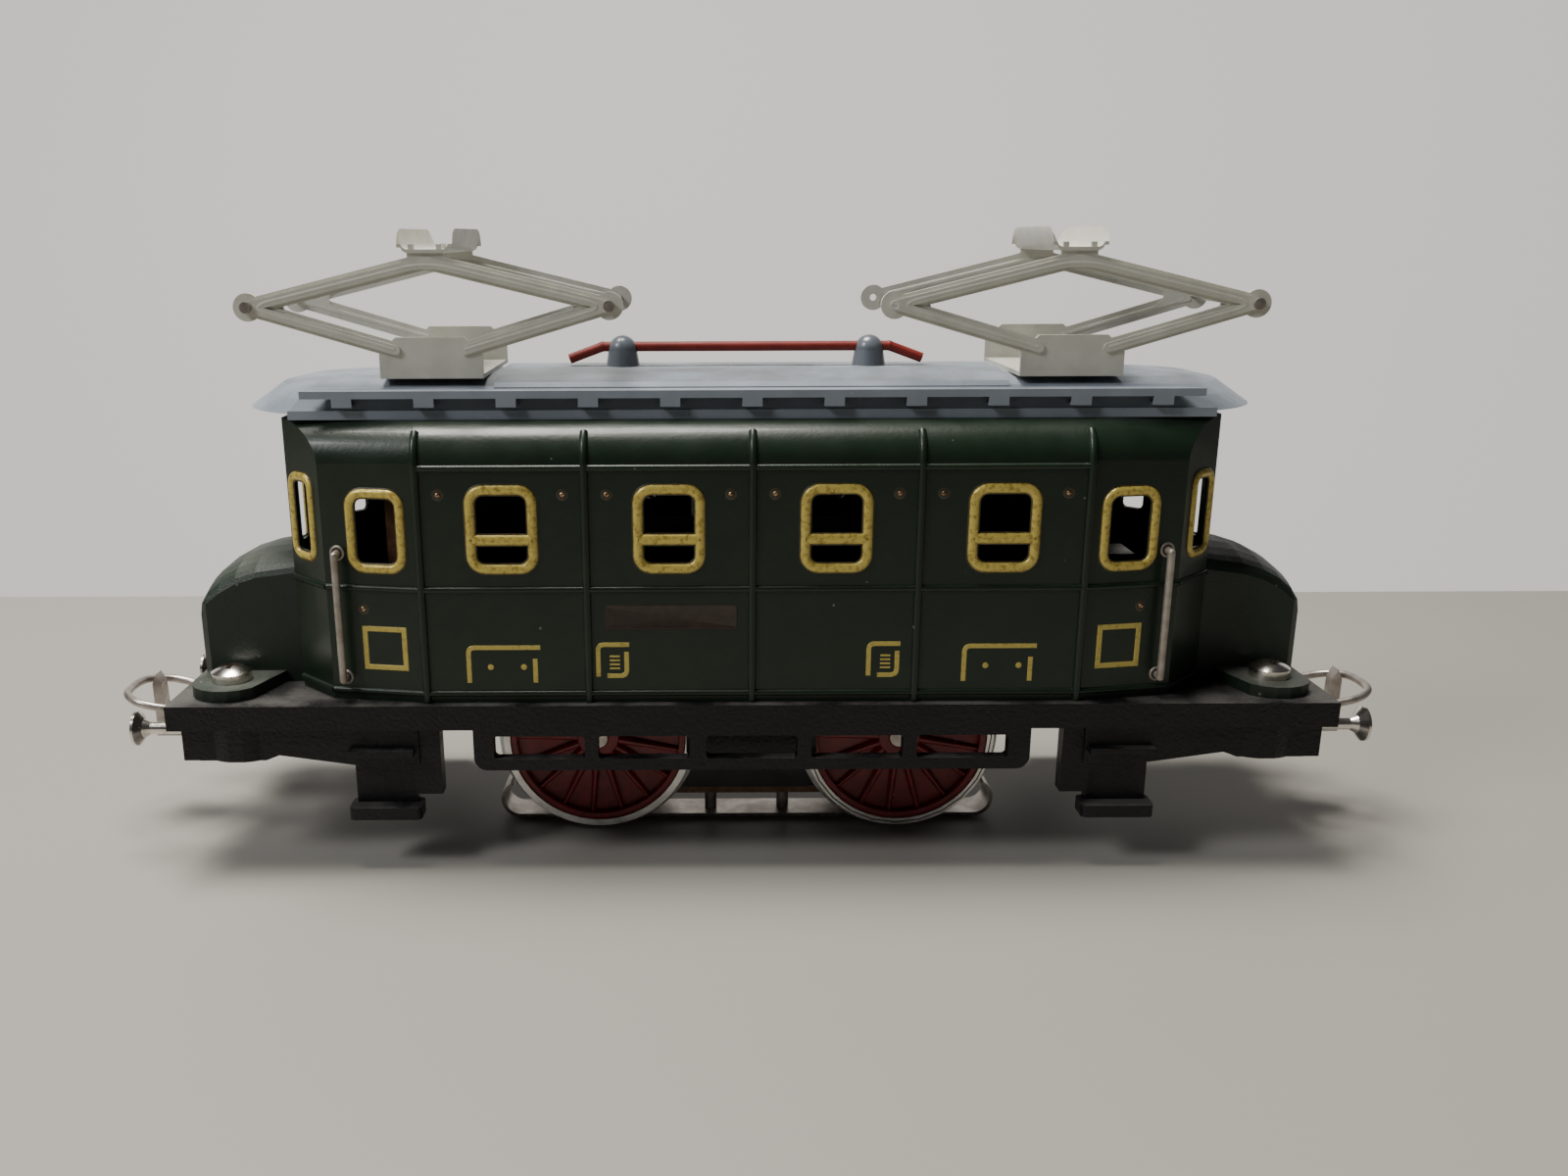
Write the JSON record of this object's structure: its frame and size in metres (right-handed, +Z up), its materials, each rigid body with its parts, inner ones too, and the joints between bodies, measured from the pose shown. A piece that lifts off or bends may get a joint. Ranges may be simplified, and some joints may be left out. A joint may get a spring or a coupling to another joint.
{
  "type": "model electric locomotive",
  "caption": "Two-axle model electric locomotive with a ribbed sheet-metal body, end hoods, diamond pantographs, geared motor, sprung pickup shoe and hook-and-loop couplings.",
  "frame": {"origin": "middle of the footprint at rail level", "axes": "+X along the locomotive to its right-hand end, +Y across it to the far side, +Z up"},
  "size_m": [0.2042, 0.046, 0.0941],
  "materials": {
    "frame_black": "satin",
    "body_green": "semi_gloss",
    "roof_slate": "satin",
    "hood_green": "satin",
    "panto_grey": "satin",
    "conductor_red": "satin",
    "insulator_slate": "satin",
    "wheel_red": "satin",
    "steel": "brushed",
    "nickel": "polished",
    "tyre_steel": "satin",
    "brass": "satin",
    "iron": "satin",
    "copper": "satin",
    "hardboard": "matte"
  },
  "bodies": {
    "locomotive": {"chassis_frame": "frame_black", "motor_block": "frame_black", "body_shell": "body_green", "roof": "roof_slate", "roof_walk_front": "roof_slate", "roof_walk_rear": "roof_slate", "hood_left": "hood_green", "hood_right": "hood_green", "hood_screws": "nickel", "handrails": "steel", "insulators": "insulator_slate", "roof_conductor": "conductor_red", "pantograph_left": "panto_grey", "pantograph_right": "panto_grey", "collector_left": "panto_grey", "collector_right": "panto_grey", "knee_pins_left": "steel", "knee_pins_right": "steel", "pantograph_screws": "nickel", "buffers": "nickel", "coupling_screws": "nickel", "axle_bushes": "brass", "idler_stud": "steel", "field_magnet": "iron", "field_coil": "copper", "brush_plate": "hardboard", "brushes": "brass", "motor_screws": "nickel", "relay_frame": "iron", "relay_coil": "copper", "relay_core": "iron", "wiring_board": "hardboard", "pickup_plate": "hardboard", "pickup_spring": "steel", "pickup_screws": "nickel"},
    "wheelset_left": {"wheel_left_near": "wheel_red", "wheel_left_far": "wheel_red", "tyre_left_near": "tyre_steel", "tyre_left_far": "tyre_steel", "axle_left": "steel", "axle_gear_left": "brass"},
    "wheelset_right": {"wheel_right_near": "wheel_red", "wheel_right_far": "wheel_red", "tyre_right_near": "tyre_steel", "tyre_right_far": "tyre_steel", "axle_right": "steel", "axle_gear_right": "brass"},
    "idler": {"idler_gear": "brass"},
    "armature": {"armature_shaft": "steel", "armature_core": "copper", "commutator": "copper", "motor_pinion": "brass"},
    "coupling_arm_left": {"coupling_left": "steel", "loop_pin_left": "steel"},
    "coupling_arm_right": {"coupling_right": "steel", "loop_pin_right": "steel"},
    "loop_left": {"coupling_loop_left": "steel"},
    "loop_right": {"coupling_loop_right": "steel"},
    "shoe": {"pickup_shoe": "steel"},
    "clapper": {"relay_armature": "iron"}
  },
  "joints": [
    {"name": "wheelset_left_turn", "type": "hinge", "parent": "locomotive", "child": "wheelset_left", "pos_m": [-0.024, 0, 0.016], "axis": [0, 1, 0], "continuous": true},
    {"name": "wheelset_right_turn", "type": "hinge", "parent": "locomotive", "child": "wheelset_right", "pos_m": [0.024, 0, 0.016], "axis": [0, 1, 0], "continuous": true},
    {"name": "idler_turn", "type": "hinge", "parent": "locomotive", "child": "idler", "pos_m": [0, 0, 0.02385], "axis": [0, 1, 0], "continuous": true},
    {"name": "armature_turn", "type": "hinge", "parent": "locomotive", "child": "armature", "pos_m": [0, 0, 0.0396], "axis": [0, 1, 0], "continuous": true},
    {"name": "coupling_left_swivel", "type": "hinge", "parent": "locomotive", "child": "coupling_arm_left", "pos_m": [-0.076, 0, 0.0147], "axis": [0, 0, 1], "range_deg": [-10, 10]},
    {"name": "coupling_right_swivel", "type": "hinge", "parent": "locomotive", "child": "coupling_arm_right", "pos_m": [0.076, 0, 0.0147], "axis": [0, 0, 1], "range_deg": [-10, 10]},
    {"name": "loop_left_lift", "type": "hinge", "parent": "coupling_arm_left", "child": "loop_left", "pos_m": [-0.09, 0, 0.0188], "axis": [0, 1, 0], "range_deg": [0, 60]},
    {"name": "loop_right_lift", "type": "hinge", "parent": "coupling_arm_right", "child": "loop_right", "pos_m": [0.09, 0, 0.0188], "axis": [0, -1, 0], "range_deg": [0, 60]},
    {"name": "shoe_travel", "type": "slide", "parent": "locomotive", "child": "shoe", "axis": [0, 0, 1], "range_m": [0, 0.002], "stiffness_N_per_m": 100, "springref_m": -0.001, "deforming": ["pickup_spring"]},
    {"name": "relay_clapper_swing", "type": "hinge", "parent": "locomotive", "child": "clapper", "pos_m": [0.0492, 0, 0.0444], "axis": [0, 1, 0], "range_deg": [0, 10], "stiffness_Nm_per_rad": 0.002, "springref_deg": -5.73}
  ],
  "couplings": [
    {"joint": "wheelset_left_turn", "follows": "armature_turn", "ratio": 0.24},
    {"joint": "wheelset_right_turn", "follows": "armature_turn", "ratio": 0.24},
    {"joint": "idler_turn", "follows": "armature_turn", "ratio": -0.23529}
  ]
}
